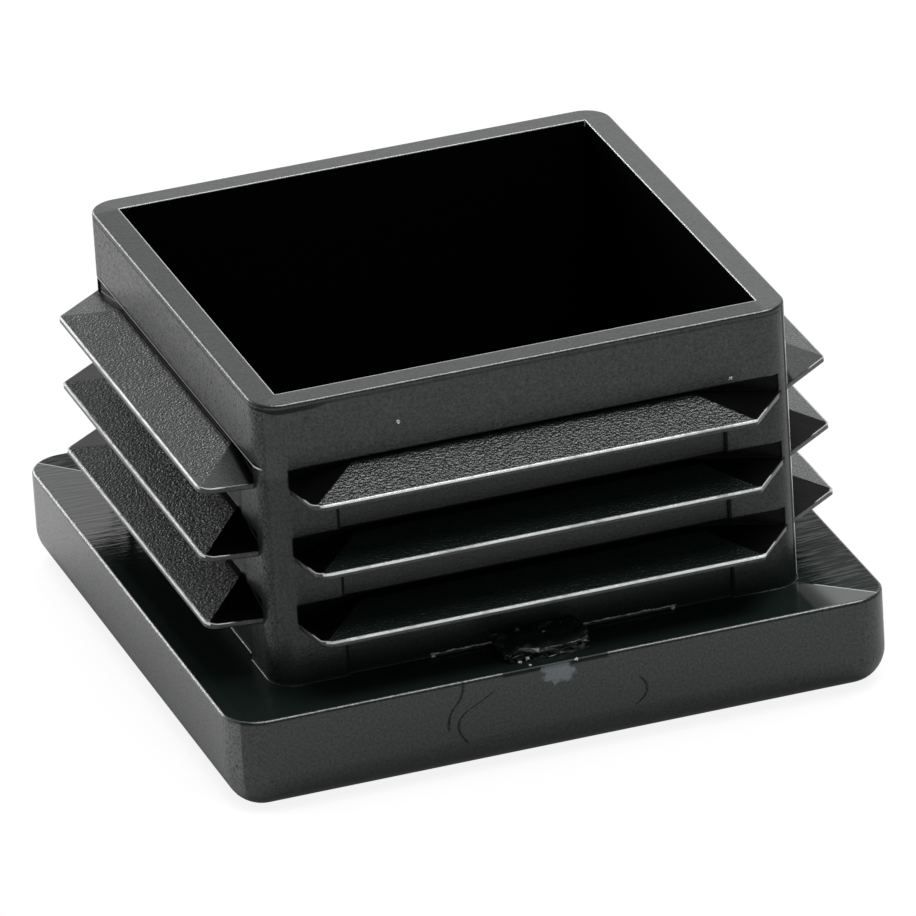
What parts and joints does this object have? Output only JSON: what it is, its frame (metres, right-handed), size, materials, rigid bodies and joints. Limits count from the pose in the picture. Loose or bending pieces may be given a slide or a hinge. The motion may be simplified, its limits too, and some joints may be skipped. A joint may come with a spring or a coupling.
{
  "type": "tube end cap",
  "caption": "Square plastic tube end cap: a flat head and a hollow shank with barbed ribs that grip the inside of a square tube.",
  "frame": {"origin": "middle of the head's flat outer face, on which the cap stands", "axes": "+Z along the shank, into the tube; -Y is the side with the gate mark"},
  "size_m": [0.04, 0.04, 0.0233],
  "materials": {
    "polyethylene": "black moulded plastic, satin, with finely grained rib slopes"
  },
  "bodies": {
    "root": {"end_cap": "polyethylene"}
  },
  "joints": []
}
